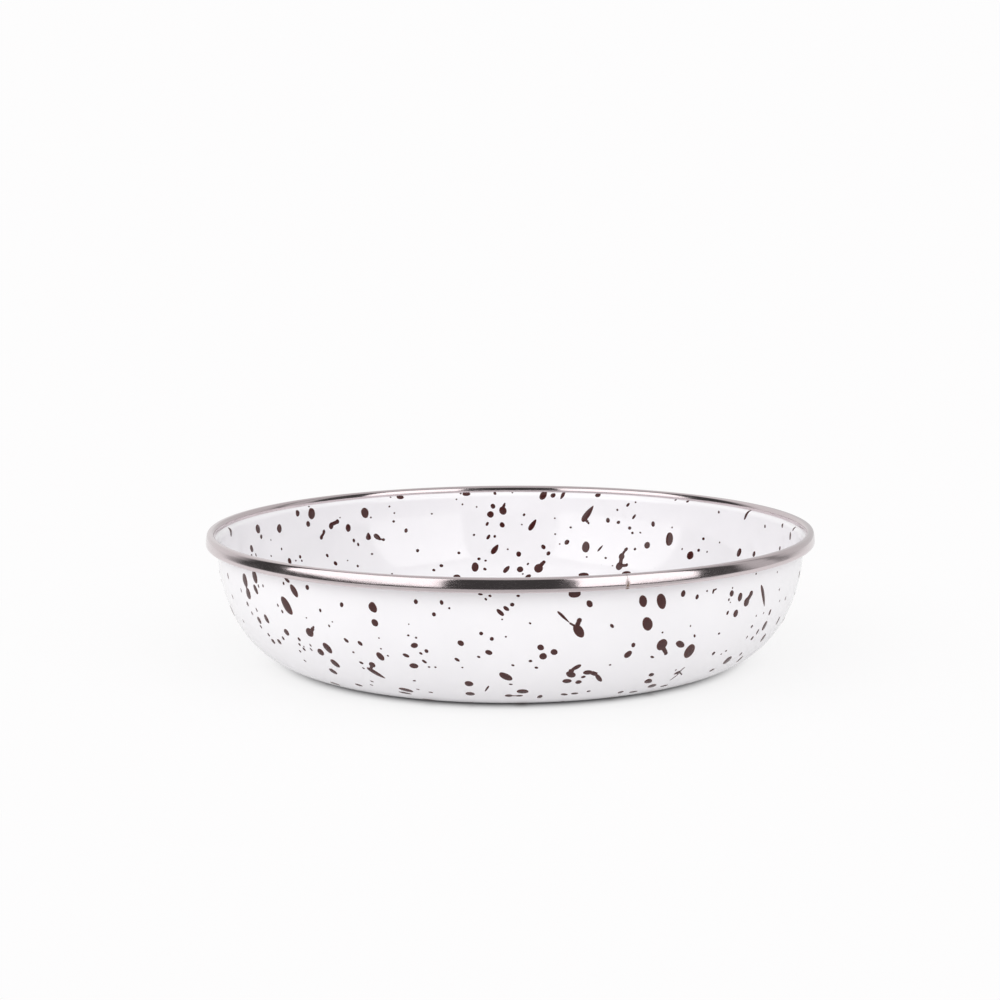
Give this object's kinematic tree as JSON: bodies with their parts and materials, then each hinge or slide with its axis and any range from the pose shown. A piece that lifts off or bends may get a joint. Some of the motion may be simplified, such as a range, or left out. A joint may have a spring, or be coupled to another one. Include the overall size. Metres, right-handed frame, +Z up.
{
  "type": "enamel basin bowl",
  "caption": "Wide shallow basin bowl of white enamelled steel with dark brown splatter inside and out and a polished stainless band over its rim.",
  "frame": {"origin": "middle of the flat resting face, on the bowl's axis", "axes": "+Z up along the bowl's axis, out of its mouth; -Y towards the front that the picture shows"},
  "size_m": [0.28, 0.28, 0.06],
  "materials": {
    "pressed_steel": "matte",
    "white_enamel": "gloss",
    "stainless_band": "polished",
    "brown_enamel": "gloss"
  },
  "bodies": {
    "root": {"steel_shell": "pressed_steel", "inner_enamel": "white_enamel", "outer_enamel": "white_enamel", "rim_band": "stainless_band", "splatter_inside": "brown_enamel", "splatter_outside": "brown_enamel"}
  },
  "joints": []
}
